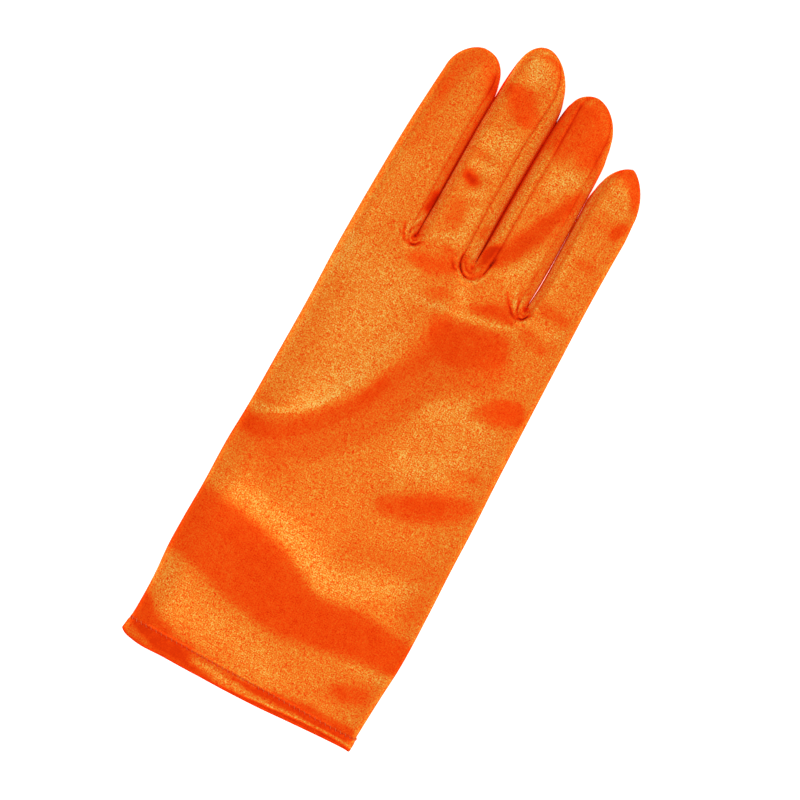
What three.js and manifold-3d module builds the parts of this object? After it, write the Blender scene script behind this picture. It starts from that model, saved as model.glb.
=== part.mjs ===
// Wrist length dress glove of stretch satin, for the right hand, lying empty on a flat surface
// with its back up and its thumb folded under the palm.
//
// X runs from the index finger's side (-) to the little finger's side (+), Y from the cuff to
// the fingertips and Z up, in millimetres. The glove is drawn with Y = 0 at the fold of its hem
// and Z = 0 on the surface, and the finished group is then centred over the origin.
//
// The hand is one hollow form, a back sheet over a palm sheet, which meet along the glove's
// outline. Both are worked out on one grid of columns and rows, and each piece of cloth is a
// patch of that grid. A patch has its outer face, its inner face one wall further in, and a
// narrow border along its seams.

import * as THREE from "three";
import { mergeVertices } from "three/addons/utils/BufferGeometryUtils.js";
import Module from "manifold-3d";

const wasm = await Module();
wasm.setup();

// Cloth
const wall = 1.0; // one layer of cloth
const hemWall = 1.3; // the doubled cloth of the hem
const seamGap = 0.3; // between two pieces that are sewn together

// Palm and cuff
const palmLength = 161; // hem fold to the line of the crotches
const cuffWidth = 86; // side to side near the hem, laid flat
const hemDepth = 6.6; // hem fold to its line of stitches
const hemRise = 2.7; // how far the hem's corners stand up from its lowest point
const hemLip = 1.6; // how far the palm side of the hem shows past the back side
const stripDepth = 4.6; // how far the strips between the fingers run on below a crotch

// Fingers, each measured from the line of the crotches to its tip
const indexLength = 63.4;
const middleLength = 73.0;
const ringLength = 66.6;
const littleLength = 51.8;
const indexWidth = 21.2;
const middleWidth = 20.2;
const ringWidth = 20.5;
const littleWidth = 17.3;
const fingerGap = 0.9; // between two neighbouring fingers

// Clear height of the hollow as the glove lies
const cuffHollow = 7.9;
const handHollow = 8.5;
const cuffBlend = 20; // length over which the cuff's height becomes the hand's
const fingerHollow = 8.5;

// How the two sheets round over to meet each other
const edgeShare = 0.36; // height of the edge between them, as a share of the glove's height
const fullness = 2.4; // power of the curve over which a sheet rounds, 2 being an ellipse
const backReach = 14.5; // how far in from the sides of the hand the back still rounds
const palmReach = 6.5; // the same for the palm sheet, which lies flat
const valleyLength = 26; // how far the dip at a crotch runs down the hand

// Thumb, lying flat under the palm
const thumbLength = 81; // heel to tip, with the part that is set into the palm
const thumbWidth = 23;
const thumbTipWidth = 18.5;
const thumbTipRound = 13; // length of the round end at its tip
const thumbHollow = 0.3;
const thumbLean = 42; // degrees from the glove's length towards the little finger
const thumbHeelAcross = -27; // end of the heel, from the glove's middle line
const thumbHeelAlong = 66;
const mouthLength = 22; // hole in the palm that opens into the thumb
const mouthWidth = 13.5;
const thumbEase = 3.5; // the palm stays clear of the surface this far beyond the thumb
const thumbSkirt = 16; // and comes down to it over this length
const backRise = 1.4; // how far the thumb lifts the back of the hand
const backSkirt = 22; // reach of that rise beyond the thumb

// How finely the cloth is divided
const columns = 7; // across one finger, two of them in each strip
const hemRows = 1;
const palmRows = 20; // hem fold to the line of the crotches
const fingerRows = 4; // line of the crotches to the start of a round tip
const tipRows = 4;
const thumbColumns = 6;
const thumbRows = 5; // between its two round ends

// Outline of the hand. along is the share of palmLength. left and right are shares of the half
// width, which itself runs evenly from the cuff's to that of the four fingers together.
const handOutline = [
  { along: 0.0, left: 0.985, right: 0.978 },
  { along: 0.08, left: 0.966, right: 1.0 },
  { along: 0.2, left: 0.988, right: 1.032 },
  { along: 0.34, left: 0.987, right: 1.032 },
  { along: 0.52, left: 0.984, right: 1.024 },
  { along: 0.76, left: 0.986, right: 1.01 },
  { along: 0.89, left: 0.996, right: 1.004 },
  { along: 1.0, left: 1.0, right: 1.0 },
];

// Edge of the hem. across is the share of the half width and rise the share of hemRise.
const hemEdge = [
  { across: -1.0, rise: 0.87 },
  { across: -0.9, rise: 0.2 },
  { across: -0.6, rise: 0.08 },
  { across: -0.2, rise: 0.0 },
  { across: 0.25, rise: 0.25 },
  { across: 0.7, rise: 0.8 },
  { across: 1.0, rise: 1.0 },
];

// Fingers from left to right. lean is how far the start of the round tip stands to the right of
// the root, apex how far the end of the tip stands to the right of its start, and both are
// shares of the finger's width, as are tip, the width where the round tip starts, round, the
// length of that tip, and leftSeam and rightSeam, how far in the seams with the strips lie.
const fingers = [
  { name: "index", length: indexLength, width: indexWidth,
    lean: 0.055, apex: -0.02, tip: 0.915, round: 0.76, leftSeam: 0.2, rightSeam: 0.125 },
  { name: "middle", length: middleLength, width: middleWidth,
    lean: 0.03, apex: -0.1, tip: 1.0, round: 0.85, leftSeam: 0.1, rightSeam: 0.235 },
  { name: "ring", length: ringLength, width: ringWidth,
    lean: 0.0, apex: -0.08, tip: 0.965, round: 0.93, leftSeam: 0.21, rightSeam: 0.1 },
  { name: "little", length: littleLength, width: littleWidth,
    lean: 0.0, apex: -0.02, tip: 0.97, round: 0.95, leftSeam: 0.11, rightSeam: 0.2 },
];

// Crotches from left to right. drop is how far each one sits below the common line, as a share
// of stripDepth.
const crotches = [{ drop: 0.2 }, { drop: 0.0 }, { drop: 0.74 }];

// Bottom of the U that a strip makes below its crotch, column by column from the crotch
// outwards, as shares of stripDepth. The last one holds for the rest of the finger.
const stripCup = [1.0, 0.86, 0.42];

// The broad folds of the back. across is the share of the hand's half width, along the share of
// palmLength, wide and long are how far a fold reaches across and along its own line, as shares
// of cuffWidth, turn is the direction of that line in degrees from +X, and rise is its height
// as a share of handHollow.
const folds = [
  { across: -0.5, along: 0.13, wide: 0.055, long: 0.36, turn: -4, rise: 0.16 },
  { across: 0.25, along: 0.36, wide: 0.09, long: 0.42, turn: 5, rise: 0.17 },
  { across: -0.72, along: 0.36, wide: 0.06, long: 0.2, turn: -24, rise: 0.12 },
  { across: -0.55, along: 0.6, wide: 0.05, long: 0.3, turn: 50, rise: 0.13 },
  { across: 0.72, along: 0.66, wide: 0.08, long: 0.16, turn: 60, rise: 0.12 },
  { across: 0.0, along: 0.9, wide: 0.05, long: 0.26, turn: 4, rise: 0.1 },
];

// Sizes that follow from those above
const handHeight = handHollow + 2 * wall;
const fingerHeight = fingerHollow + 2 * wall;
const cuffHeight = cuffHollow + 2 * hemWall;
const thumbHeight = thumbHollow + 2 * wall;
const handWidth = fingers.reduce((sum, finger) => sum + finger.width, 3 * fingerGap);
const lastColumn = fingers.length * columns;
const lastRow = fingerRows + tipRows;

fingers.reduce((left, finger, k) => {
  finger.root = left + finger.width / 2;
  finger.left = k === 0 ? left : left - fingerGap / 2;
  finger.right = left + finger.width + (k === fingers.length - 1 ? 0 : fingerGap / 2);
  return left + finger.width + fingerGap;
}, -handWidth / 2);

// Middle line of the thumb, in plan
const thumbLine = new THREE.Vector2(0, 1).rotateAround(
  new THREE.Vector2(), -THREE.MathUtils.degToRad(thumbLean));
const thumbSide = new THREE.Vector2(thumbLine.y, -thumbLine.x);
const thumbHeel = new THREE.Vector2(thumbHeelAcross, thumbHeelAlong);

const mix = (a, b, t) => a + (b - a) * t;

// 0 below low, 1 above high and a smooth S between them
function ramp(low, high, at) {
  const t = THREE.MathUtils.clamp((at - low) / (high - low), 0, 1);
  return t * t * (3 - 2 * t);
}

// Height share of a rounded sheet, 0 at its edge and 1 from t = 1 on
function cushion(t) {
  return t >= 1 ? 1 : Math.sqrt(1 - (1 - Math.max(t, 0)) ** fullness);
}

// A column of a table, read at any place with a smooth curve through its rows
function read(rows, place, column, at) {
  const last = rows.length - 1;
  const found = rows.findIndex((row) => row[place] >= at);
  const k = THREE.MathUtils.clamp(found < 0 ? last : found, 1, last);
  const [a, b] = [rows[k - 1], rows[k]];
  const slope = (from, to) => (to[column] - from[column]) / (to[place] - from[place]);
  const before = slope(rows[Math.max(k - 2, 0)], b);
  const after = slope(a, rows[Math.min(k + 1, last)]);
  const span = b[place] - a[place];
  const t = THREE.MathUtils.clamp((at - a[place]) / span, 0, 1);
  const [t2, t3] = [t * t, t * t * t];
  return (2 * t3 - 3 * t2 + 1) * a[column] + (t3 - 2 * t2 + t) * span * before
    + (3 * t2 - 2 * t3) * b[column] + (t3 - t2) * span * after;
}

// How far a point of the plan lies outside the thumb, less than 0 over it
function beyondThumb(x, y) {
  const from = new THREE.Vector2(x, y).sub(thumbHeel);
  const radius = thumbWidth / 2;
  const along = THREE.MathUtils.clamp(from.dot(thumbLine), radius, thumbLength - radius);
  return from.distanceTo(thumbLine.clone().multiplyScalar(along)) - radius;
}

// Height of the palm sheet's underside: on the surface, or just over the thumb
function underside(x, y) {
  const away = ramp(thumbEase, thumbEase + thumbSkirt, beyondThumb(x, y));
  return (thumbHeight + seamGap) * (1 - away);
}

// Height of the back sheet's outer face away from the glove's edges
function topside(x, y) {
  const hand = mix(cuffHeight, handHeight, ramp(0, cuffBlend, y));
  const height = mix(hand, fingerHeight, ramp(palmLength - valleyLength, palmLength, y));
  const raised = backRise * (1 - ramp(0, backSkirt, beyondThumb(x, y)));
  return folds.reduce((sum, fold) => {
    const dx = x - (fold.across * cuffWidth) / 2;
    const dy = y - fold.along * palmLength;
    const turn = THREE.MathUtils.degToRad(fold.turn);
    const u = (dx * Math.cos(turn) + dy * Math.sin(turn)) / (fold.long * cuffWidth);
    const v = (dy * Math.cos(turn) - dx * Math.sin(turn)) / (fold.wide * cuffWidth);
    return sum + fold.rise * handHollow * Math.exp(-u * u - v * v);
  }, height + raised);
}

// Columns of a finger, as shares of its width from its left side
function stations(finger) {
  const left = finger.leftSeam;
  const right = 1 - finger.rightSeam;
  const third = (right - left) / 3;
  return [0, left / 2, left, left + third, right - third, right, (1 + right) / 2, 1];
}

// Finger and station of a column of the hand. A column on a crotch counts with its right finger.
function columnAt(i) {
  const k = Math.min(Math.floor(i / columns), fingers.length - 1);
  const finger = fingers[k];
  const station = stations(finger)[i - k * columns];
  return { finger, k, station, across: mix(finger.left, finger.right, station) / (handWidth / 2) };
}

// Line of the crotches at a column: it sags to each crotch and is level at the hand's sides
function crotchLine(i) {
  const { k, station } = columnAt(i);
  const drop = (at) => (crotches[at] ? crotches[at].drop : 0);
  return palmLength - stripDepth * mix(drop(k - 1), drop(k), station);
}

// Columns from the nearest crotch, or a large number at the sides of the hand
function columnsFromCrotch(i) {
  return Math.min(...crotches.map((crotch, k) => Math.abs(i - (k + 1) * columns)));
}

// Distance of a side of the hand from the glove's middle line, at a height along it
function side(y, which) {
  const half = mix(cuffWidth, handWidth, y / palmLength) / 2;
  return half * read(handOutline, "along", which, y / palmLength);
}

// Both sheets over one point of the plan. back and palm are the height shares there, 0 on the
// outline. face is +1 for the back sheet and -1 for the palm sheet.
function lay(x, y, back, palm, face, inset) {
  const top = topside(x, y);
  const bottom = underside(x, y);
  const edge = mix(bottom, top, edgeShare);
  const z = face > 0 ? mix(edge, top - inset, back) : mix(edge, bottom + inset, palm);
  return new THREE.Vector3(x, y, z);
}

// A point of the hand, from the hem fold to the line of the crotches
function handPoint(i, j, face, inset) {
  const { finger, k, station, across } = columnAt(i);
  const line = crotchLine(i);
  const cup = stripCup[Math.min(columnsFromCrotch(i), stripCup.length - 1)];
  const rise = hemRise * read(hemEdge, "across", "rise", across);
  const lip = face > 0 ? hemLip * (1 - across * across) : 0;
  const stitchLine = hemDepth + rise / 2;
  const share = (j - hemRows) / (palmRows - 1 - hemRows);
  let y = mix(stitchLine, line - cup * stripDepth, share);
  if (j < hemRows) y = mix(rise + lip, stitchLine, j / hemRows);
  if (j === palmRows) y = line;

  const nearCrotch = (1 - THREE.MathUtils.clamp((line - y) / valleyLength, 0, 1)) ** 2;
  const onCrotch = columnsFromCrotch(i) === 0;
  const half = side(y, across < 0 ? "left" : "right");
  const x = across * half - inset * mix(across, onCrotch ? across : 2 * station - 1, nearCrotch);
  const fromSide = (1 - Math.abs(across)) * (half - inset);
  const valley = (reach) => {
    const left = k > 0 ? cushion((station * finger.width) / reach) : 1;
    const right = k < fingers.length - 1 ? cushion(((1 - station) * finger.width) / reach) : 1;
    return mix(1, left * right, nearCrotch);
  };
  const back = cushion(fromSide / mix(backReach, finger.width / 2, nearCrotch))
    * valley(finger.width / 2);
  const palm = cushion(fromSide / palmReach) * valley(palmReach);
  const point = lay(x, y, back, palm, face, inset);
  if (j === palmRows && Math.abs(across) < 1) point.y -= inset * (1 - back);
  return point;
}

// A point of a finger, from the line of the crotches (row 0) to its tip
function fingerPoint(k, column, row, face, inset) {
  const finger = fingers[k];
  const station = stations(finger)[column];
  const start = crotchLine(k * columns + column);
  const tipStart = palmLength + finger.length - finger.round * finger.width;
  const straight = Math.min(row / fingerRows, 1);
  const turn = Math.max(row - fingerRows, 0) / tipRows * Math.PI / 2;
  const full = finger.width * mix(1, finger.tip, straight) - 2 * inset;
  const width = full * Math.cos(turn);
  const centre = finger.root + finger.width * (finger.lean * straight + finger.apex * Math.sin(turn));
  const x = centre + (station - 0.5) * width;
  const y = mix(start, tipStart, straight)
    + (finger.round * finger.width - inset) * Math.sin(turn);
  const share = (reach) => Math.cos(turn)
    * cushion((station * full) / reach) * cushion(((1 - station) * full) / reach);
  return lay(x, y, share(full / 2), share(Math.min(palmReach, full / 2)), face, inset);
}

// Names a point of the grid. Points of the outline belong to both sheets, and so do all points
// of a fingertip's last row, which are one.
const handKey = (i, j, face) => {
  const onOutline = i === 0 || i === lastColumn || (j === palmRows && i % columns === 0);
  return `hand ${i} ${j} ${onOutline ? 0 : face}`;
};
const fingerKey = (k, column, row, face) => {
  if (row === 0) return handKey(k * columns + column, palmRows, face);
  if (row === lastRow) return `finger ${k} 0 ${row} 0`;
  const onOutline = column === 0 || column === columns;
  return `finger ${k} ${column} ${row} ${onOutline ? 0 : face}`;
};

function keyPoint(key, inset) {
  const [where, ...numbers] = key.split(" ");
  return where === "hand"
    ? handPoint(...numbers.map(Number), inset)
    : fingerPoint(...numbers.map(Number), inset);
}

// One cell of the grid, its corners turned so that it faces outwards
function cell(key, a, b, face) {
  const corners = [key(a, b), key(a + 1, b), key(a + 1, b + 1), key(a, b + 1)];
  return face > 0 ? corners : corners.reverse();
}

// Sorts every cell of the hand and fingers by the piece of cloth that it belongs to
const cells = { hem: [], body: [], strips: crotches.map(() => []) };
for (const face of [1, -1]) {
  for (let i = 0; i < lastColumn; i += 1) {
    for (let j = 0; j < palmRows; j += 1) {
      const crotch = Math.round((i + 0.5) / columns) - 1;
      const inStrip = j === palmRows - 1 && crotches[crotch]
        && Math.abs(i + 0.5 - (crotch + 1) * columns) < 2;
      const owner = inStrip ? cells.strips[crotch] : j < hemRows ? cells.hem : cells.body;
      owner.push(cell((a, b) => handKey(a, b, face), i, j, face));
    }
  }
  fingers.forEach((finger, k) => {
    for (let column = 0; column < columns; column += 1) {
      for (let row = 0; row < lastRow; row += 1) {
        const strip = column < 2 ? cells.strips[k - 1]
          : column >= columns - 2 ? cells.strips[k] : undefined;
        const owner = strip && row < lastRow - 1 ? strip : cells.body;
        owner.push(cell((a, b) => fingerKey(k, a, b, face), column, row, face));
      }
    }
  });
}

// Closes a patch of cells into one solid: outer faces, inner faces and a border round its edges
function clothGeometry(patch, place, inset) {
  const points = [];
  const seen = new Map();
  const corner = (key, depth) => {
    const name = `${key} ${depth}`;
    if (!seen.has(name)) {
      seen.set(name, points.length);
      points.push(place(key, depth));
    }
    return seen.get(name);
  };
  const triangles = [];
  const quad = (a, b, c, d) => {
    for (const triangle of [[a, b, c], [a, c, d]]) {
      if (new Set(triangle).size === 3) triangles.push(triangle);
    }
  };
  const edges = new Map();
  for (const keys of patch) {
    quad(...keys.map((key) => corner(key, 0)));
    quad(...keys.map((key) => corner(key, inset)).reverse());
    keys.forEach((key, n) => edges.set(`${key}|${keys[(n + 1) % 4]}`, [key, keys[(n + 1) % 4]]));
  }
  for (const [a, b] of edges.values()) {
    if (a === b || edges.has(`${b}|${a}`)) continue;
    const border = [corner(a, 0), corner(a, inset), corner(b, inset), corner(b, 0)];
    if (b < a) border.unshift(border.pop()); // so that both sides of a seam divide it alike
    quad(...border);
  }
  const geometry = new THREE.BufferGeometry();
  geometry.setAttribute("position",
    new THREE.Float32BufferAttribute(points.flatMap((point) => point.toArray()), 3));
  geometry.setIndex(triangles.flat());
  return geometry;
}

// Opens each seam by half of seamGap on either side. The direction is the one from the body
// into its neighbour, and the neighbour's own points move along it and the body's against it.
function seamDirection(key) {
  const [where, first, second, third] = key.split(" ");
  const [a, b, row] = [Number(first), Number(second), Number(third)];
  if (where === "hand" && b === hemRows) return [0, -1];
  const column = where === "hand" ? a % columns : b;
  const sideways = column === 2 ? -1 : column === columns - 2 ? 1 : 0;
  if (where === "hand") {
    const nearCrotch = columnsFromCrotch(a) <= 2;
    if (!nearCrotch || b < palmRows - 1) return [0, 0];
    return b === palmRows ? [sideways, 0] : [sideways, 1];
  }
  const hasStrip = column <= 2 ? a > 0 : column >= columns - 2 && a < fingers.length - 1;
  if (!hasStrip) return [0, 0];
  return row < lastRow - 1 ? [sideways, 0] : row === lastRow - 1 ? [sideways, -1] : [0, 0];
}

function placeIn(neighbour) {
  const half = (neighbour ? seamGap : -seamGap) / 2;
  return (key, inset) => {
    const point = keyPoint(key, inset);
    const [dx, dy] = seamDirection(key);
    return point.add(new THREE.Vector3(dx * half, dy * half, 0));
  };
}

// The thumb: the same kind of patch, with a round end at its heel and at its tip
const thumbLast = 2 * tipRows + thumbRows;
const thumbKey = (column, row, face) => {
  if (row === 0 || row === thumbLast) return `0 ${row} 0`;
  return `${column} ${row} ${column === 0 || column === thumbColumns ? 0 : face}`;
};

function thumbPoint(key, inset) {
  const [column, row, face] = key.split(" ").map(Number);
  const heelTurn = Math.max(tipRows - row, 0) / tipRows * Math.PI / 2;
  const tipTurn = Math.max(row - tipRows - thumbRows, 0) / tipRows * Math.PI / 2;
  const straight = THREE.MathUtils.clamp((row - tipRows) / thumbRows, 0, 1);
  const heelRound = thumbWidth / 2;
  const along = mix(heelRound, thumbLength - thumbTipRound, straight)
    - (heelRound - inset) * Math.sin(heelTurn) + (thumbTipRound - inset) * Math.sin(tipTurn);
  const full = mix(thumbWidth, thumbTipWidth, straight) - 2 * inset;
  const round = Math.cos(heelTurn) * Math.cos(tipTurn);
  const station = column / thumbColumns;
  const across = (station - 0.5) * full * round;
  const share = round * cushion((station * full) / palmReach)
    * cushion(((1 - station) * full) / palmReach);
  const plan = thumbHeel.clone().addScaledVector(thumbLine, along).addScaledVector(thumbSide, across);
  const level = face > 0 ? thumbHeight - inset : inset;
  return new THREE.Vector3(plan.x, plan.y, mix(thumbHeight / 2, level, share));
}

const thumbCells = [];
for (const face of [1, -1]) {
  for (let column = 0; column < thumbColumns; column += 1) {
    for (let row = 0; row < thumbLast; row += 1) {
      thumbCells.push(cell((a, b) => thumbKey(a, b, face), column, row, face));
    }
  }
}

// The hole through the top of the thumb and the palm above it, as a solid to cut away
function mouthGeometry() {
  const shape = new THREE.Shape();
  shape.absellipse(0, 0, mouthWidth / 2, mouthLength / 2, 0, 2 * Math.PI);
  const low = thumbHeight / 2; // in the thumb's hollow
  const high = thumbHeight + seamGap + wall + handHollow / 3; // in the hand's
  const geometry = new THREE.ExtrudeGeometry(shape,
    { depth: high - low, bevelEnabled: false, curveSegments: 4 });
  geometry.rotateZ(-THREE.MathUtils.degToRad(thumbLean));
  const middle = thumbHeel.clone().addScaledVector(thumbLine, thumbWidth / 4 + mouthLength / 2);
  return geometry.translate(middle.x, middle.y, low);
}

function toSolid(source) {
  const bare = source.clone();
  bare.deleteAttribute("normal");
  bare.deleteAttribute("uv");
  const merged = mergeVertices(bare, 1e-4);
  return new wasm.Manifold(new wasm.Mesh({
    numProp: 3,
    vertProperties: new Float32Array(merged.attributes.position.array),
    triVerts: new Uint32Array(merged.index.array),
  }));
}

function cutMouth(geometry) {
  const mesh = toSolid(geometry).subtract(toSolid(mouthGeometry())).getMesh();
  const cut = new THREE.BufferGeometry();
  cut.setAttribute("position", new THREE.BufferAttribute(mesh.vertProperties, 3));
  cut.setIndex(new THREE.BufferAttribute(mesh.triVerts, 1));
  return cut;
}

const satin = new THREE.MeshStandardMaterial({ color: 0xf9661a, roughness: 0.42, metalness: 0 });
const satinStrip = new THREE.MeshStandardMaterial({ color: 0xee4c10, roughness: 0.45, metalness: 0 });
const satinHem = new THREE.MeshStandardMaterial({ color: 0xf25a14, roughness: 0.5, metalness: 0 });

function named(name, geometry, material) {
  geometry.computeVertexNormals();
  const mesh = new THREE.Mesh(geometry, material);
  mesh.name = name;
  return mesh;
}

const glove = new THREE.Group();
glove.add(named("glove_body", cutMouth(clothGeometry(cells.body, placeIn(false), wall)), satin));
cells.strips.forEach((patch, k) => {
  const name = `fourchette_${fingers[k].name}_${fingers[k + 1].name}`;
  glove.add(named(name, clothGeometry(patch, placeIn(true), wall), satinStrip));
});
glove.add(named("thumb", cutMouth(clothGeometry(thumbCells, thumbPoint, wall)), satin));
glove.add(named("cuff_hem", clothGeometry(cells.hem, placeIn(true), hemWall), satinHem));

// Centres the glove over the origin
const bounds = new THREE.Box3().setFromObject(glove);
const centre = bounds.getCenter(new THREE.Vector3());
glove.position.set(-centre.x, -centre.y, -bounds.min.z);

export default glove;
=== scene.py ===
import math

import bpy
import numpy as np
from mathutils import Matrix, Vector


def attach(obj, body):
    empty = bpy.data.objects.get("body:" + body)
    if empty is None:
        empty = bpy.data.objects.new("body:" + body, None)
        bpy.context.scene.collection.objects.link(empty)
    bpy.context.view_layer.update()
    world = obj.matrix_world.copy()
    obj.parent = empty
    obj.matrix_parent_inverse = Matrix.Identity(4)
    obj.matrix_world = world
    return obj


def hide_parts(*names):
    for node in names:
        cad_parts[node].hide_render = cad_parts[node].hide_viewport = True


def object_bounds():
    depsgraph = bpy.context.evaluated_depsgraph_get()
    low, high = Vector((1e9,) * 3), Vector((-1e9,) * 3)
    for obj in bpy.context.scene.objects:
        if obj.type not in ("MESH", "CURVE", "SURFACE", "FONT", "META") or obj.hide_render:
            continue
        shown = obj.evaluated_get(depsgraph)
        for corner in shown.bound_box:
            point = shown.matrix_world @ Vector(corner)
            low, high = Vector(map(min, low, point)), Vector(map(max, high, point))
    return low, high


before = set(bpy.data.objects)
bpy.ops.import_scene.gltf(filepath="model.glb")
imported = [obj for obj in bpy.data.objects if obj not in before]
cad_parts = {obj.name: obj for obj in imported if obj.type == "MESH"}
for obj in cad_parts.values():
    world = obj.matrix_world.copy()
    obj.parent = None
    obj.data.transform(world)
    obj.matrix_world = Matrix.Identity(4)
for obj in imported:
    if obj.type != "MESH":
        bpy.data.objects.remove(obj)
cadBox = [list(corner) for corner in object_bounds()]
print("frame loaded, CAD box", cadBox)

# Lengths are millimetres in the glove's own drawing: x from its middle line, y from the lowest
# point of the hem, z from the surface it lies on. toRow carries them to the frame.
middleLine = -0.91
hemLine = cadBox[0][1] * 1000


def toRow(points):
    return (np.asarray(points, float) + (middleLine, hemLine, 0.0)) / 1000


def mix(a, b, t):
    return a + (b - a) * t


def ramp(low, high, at):
    # 0 below low, 1 above high, 3t^2 - 2t^3 between
    t = np.clip((at - low) / (high - low), 0, 1)
    return t * t * (3 - 2 * t)


def steps(count, end=1.0):
    return np.linspace(0, end, count + 1)


def bump(at, middle, reach):
    # bell of height 1: exp(-((at - middle) / reach)^2)
    return np.exp(-((at - middle) / reach) ** 2)


def curve(rows, at):
    # smooth curve through (place, value) rows: cubic Hermite with central slopes
    place, value = np.array(rows, float).T
    slope = np.gradient(value, place)
    at = np.asarray(at, float)
    k = np.clip(np.searchsorted(place, at) - 1, 0, len(place) - 2)
    span = place[k + 1] - place[k]
    t = np.clip((at - place[k]) / span, 0, 1)
    return ((2 * t**3 - 3 * t**2 + 1) * value[k] + (t**3 - 2 * t**2 + t) * span * slope[k]
            + (3 * t**2 - 2 * t**3) * value[k + 1] + (t**3 - t**2) * span * slope[k + 1])


def cushion(t, fullness=2.4):
    # height share of a rounded sheet: (1 - (1 - t)^fullness)^(1/2)
    return np.sqrt(1 - (1 - np.clip(t, 0, 1)) ** fullness)


# Camera and studio

camera = {
    "aim": (1.46, 110.75),  # point of the drawing in the middle of the photograph
    "turn": 28.8,  # degrees from the picture's upright to the glove's length, clockwise
    "frameWidth": 260.0,  # what the picture is wide at the glove
    "distance": 1300.0,
    "sensor": 36.0,
    "gloveHeight": 8.0,
}

studio = {
    "key": (21.0, 1.2, (-0.15, -0.62, 1.0)),  # power, size and direction
    "fill": (19.0, 2.4, (0.5, 0.8, 0.9)),
    "away": 2.6,
    "worldLight": 0.45,
    "floorSide": 3.0,
    "floorAt": -0.0003,  # just under the glove
    "floorColour": "#FFFFFF",
    "floorGlow": 0.8,
}


def linear(hexColour):
    # sRGB hex to linear
    parts = [int(hexColour[n:n + 2], 16) / 255 for n in (1, 3, 5)]
    return tuple(c / 12.92 if c <= 0.04045 else ((c + 0.055) / 1.055) ** 2.4 for c in parts) + (1.0,)


def addNode(tree, kind, links=(), **settings):
    # settings are the node's properties, or its inputs if they start with in_
    node = tree.nodes.new(kind)
    for name, value in settings.items():
        if name.startswith("in_"):
            key = name[3:]
            node.inputs[int(key) if key.isdigit() else key.replace("_", " ")].default_value = value
        else:
            setattr(node, name, value)
    for source, target in links:
        tree.links.new(source, node.inputs[target])
    return node


def newMaterial(name, inputs):
    # a material, its node tree and its shader
    made = bpy.data.materials.new(name)
    made.use_nodes = True
    shader = made.node_tree.nodes["Principled BSDF"]
    for key, value in inputs.items():
        shader.inputs[key].default_value = value
    return made, made.node_tree, shader


def addObject(name, data):
    made = bpy.data.objects.new(name, data)
    bpy.context.collection.objects.link(made)
    return made


def aimedCamera():
    data = bpy.data.cameras.new("photoCamera")
    data.sensor_width = camera["sensor"]
    data.lens = camera["sensor"] * camera["distance"] / camera["frameWidth"]
    data.clip_start = 0.05
    made = addObject("photoCamera", data)
    x, y = camera["aim"]
    made.location = toRow([x, y, camera["gloveHeight"] + camera["distance"]])
    made.rotation_euler = (0, 0, math.radians(camera["turn"]))
    bpy.context.scene.camera = made


def softLight(name, power, size, direction):
    data = bpy.data.lights.new(name, "AREA")
    data.size = size
    data.energy = power
    made = addObject(name, data)
    towards = Vector(direction).normalized()
    made.location = towards * studio["away"]
    made.rotation_euler = towards.to_track_quat("Z", "Y").to_euler()


def makeStudio():
    side, low = studio["floorSide"], studio["floorAt"]
    mesh = bpy.data.meshes.new("studioFloor")
    mesh.from_pydata([(-side, -side, low), (side, -side, low), (side, side, low), (-side, side, low)], [],
                     [(0, 1, 2, 3)])
    floor = addObject("studioFloor", mesh)
    white = linear(studio["floorColour"])
    paper = newMaterial("whitePaperSweep", {"Base Color": white, "Roughness": 0.9, "Emission Color": white,
                                            "Emission Strength": studio["floorGlow"]})[0]
    mesh.materials.append(paper)
    world = bpy.data.worlds.new("studioWorld")
    world.use_nodes = True
    sky = world.node_tree.nodes["Background"]
    sky.inputs["Color"].default_value = white
    sky.inputs["Strength"].default_value = studio["worldLight"]
    bpy.context.scene.world = world
    softLight("keyLight", *studio["key"])
    softLight("fillLight", *studio["fill"])
    bpy.context.scene.view_settings.view_transform = "Standard"


aimedCamera()
makeStudio()
print("camera and studio ready")

# Satin: polyester and elastane filaments in a long-float warp satin. The floats lie side by side
# and shine in broad soft bands where the cloth tilts to the light, with fine specks in them.
satinLook = {
    # shades: the colour ramp from painted shade, deepest in the slits, to painted highlight, picked by the
    # rise attribute
    "shades": [(-0.25, "#5A0A0A"), (-0.08, "#D62004"), (0.04, "#F63E08"), (0.18, "#FF520E"),
               (0.5, "#F87C22"), (0.74, "#F8942E"), (1.0, "#FFB64A"), (1.4, "#FFD674")],
    # pitch in mm, detail, roughness and weight in the shade of each unevenness
    # fleck is painted glints of the floats, partly random grain
    "fleck": (0.42, 2.0, 0.65, 4.0),  # glinting floats, drawn coarser than real to show
    "fine": (0.9, 1.0, 0.5, 0.9),  # floats that lie alike
    "patch": (3.2, 2.0, 0.6, 0.22),
    "weavePitch": (0.8, 0.74),  # ribs and rows of the weave, coarser than the real 0.2
    "weave": 0.26, "grainMiddle": -2.51, "patchMiddle": -0.1,
    # the painted glints and the weave's grain are stronger in the painted highlights
    "grain": (1.3, 0.05),  # fleck, fine and weave are stronger where rise is higher
    "relief": 0.5,
    # the emission colour is a painted glow of the cloth, its strength given with each material
    "inputs": {"Roughness": 0.42, "Metallic": 0.22, "Specular IOR Level": 0.0, "Sheen Weight": 0.02,
               "Sheen Roughness": 0.4, "Sheen Tint": linear("#FF7A30"),
               "Specular Tint": linear("#FF6A24"), "Emission Color": linear("#FF5A14")},
}
lowest, highest = satinLook["shades"][0][0], satinLook["shades"][-1][0]
reliefDepth = 0.00008


def noiseAt(tree, place, pitch, detail=2.0, rough=0.5):
    return addNode(tree, "ShaderNodeTexNoise", [(place, "Vector")], in_Scale=1000 / pitch,
                   in_Detail=detail, in_Roughness=rough).outputs["Fac"]


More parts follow.
